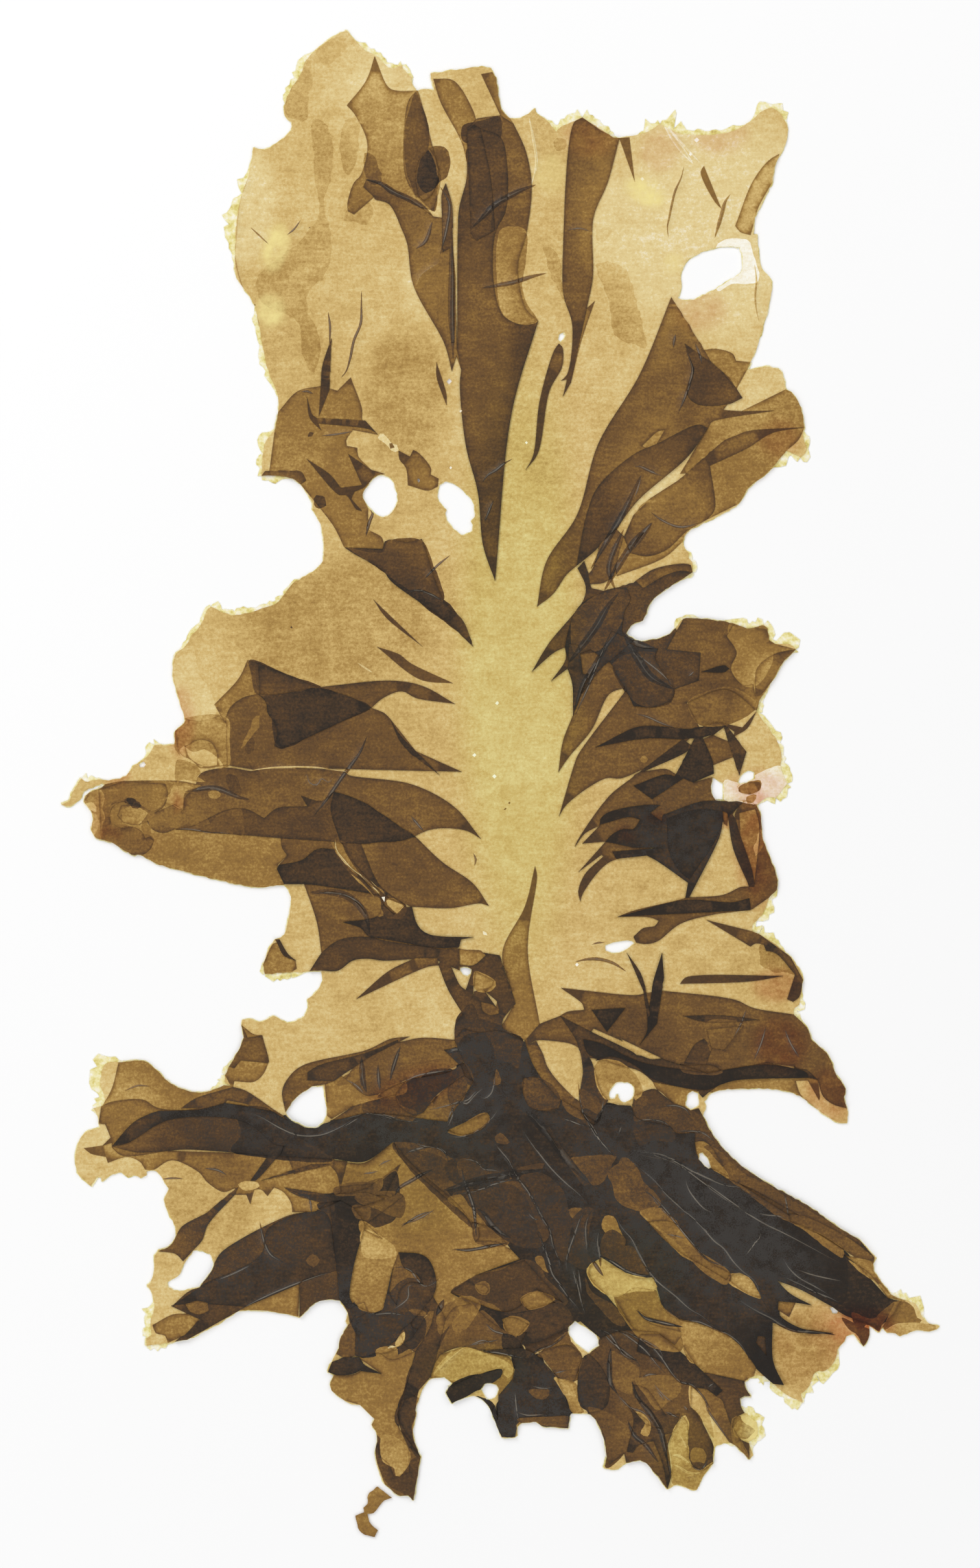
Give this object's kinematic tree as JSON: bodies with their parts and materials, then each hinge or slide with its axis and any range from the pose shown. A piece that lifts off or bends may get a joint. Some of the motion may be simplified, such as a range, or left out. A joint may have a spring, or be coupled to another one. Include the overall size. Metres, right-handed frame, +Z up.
{
  "type": "seaweed blade",
  "caption": "Whole pressed laver blade, a thin reddish-brown ruffled seaweed sheet lying flat with its pleats folded over, a torn margin and holes, and a loose torn scrap beside its foot.",
  "frame": {"origin": "centre of the whole part's box in X and Y, on the flat underside that rests on the surface", "axes": "+X across the blade to the right, +Y along the blade away from its foot, +Z up out of the surface, through the sheet"},
  "size_m": [0.132, 0.2266, 0.0009],
  "materials": {
    "blade_tissue": "thin dried tissue, translucent tan where it lies single and near black where many pleats lie over each other, with a slight gloss",
    "scrap_tissue": "thin dried tissue, brown, slight gloss"
  },
  "bodies": {
    "root": {"blade": "blade_tissue", "torn_scrap": "scrap_tissue"}
  },
  "joints": []
}
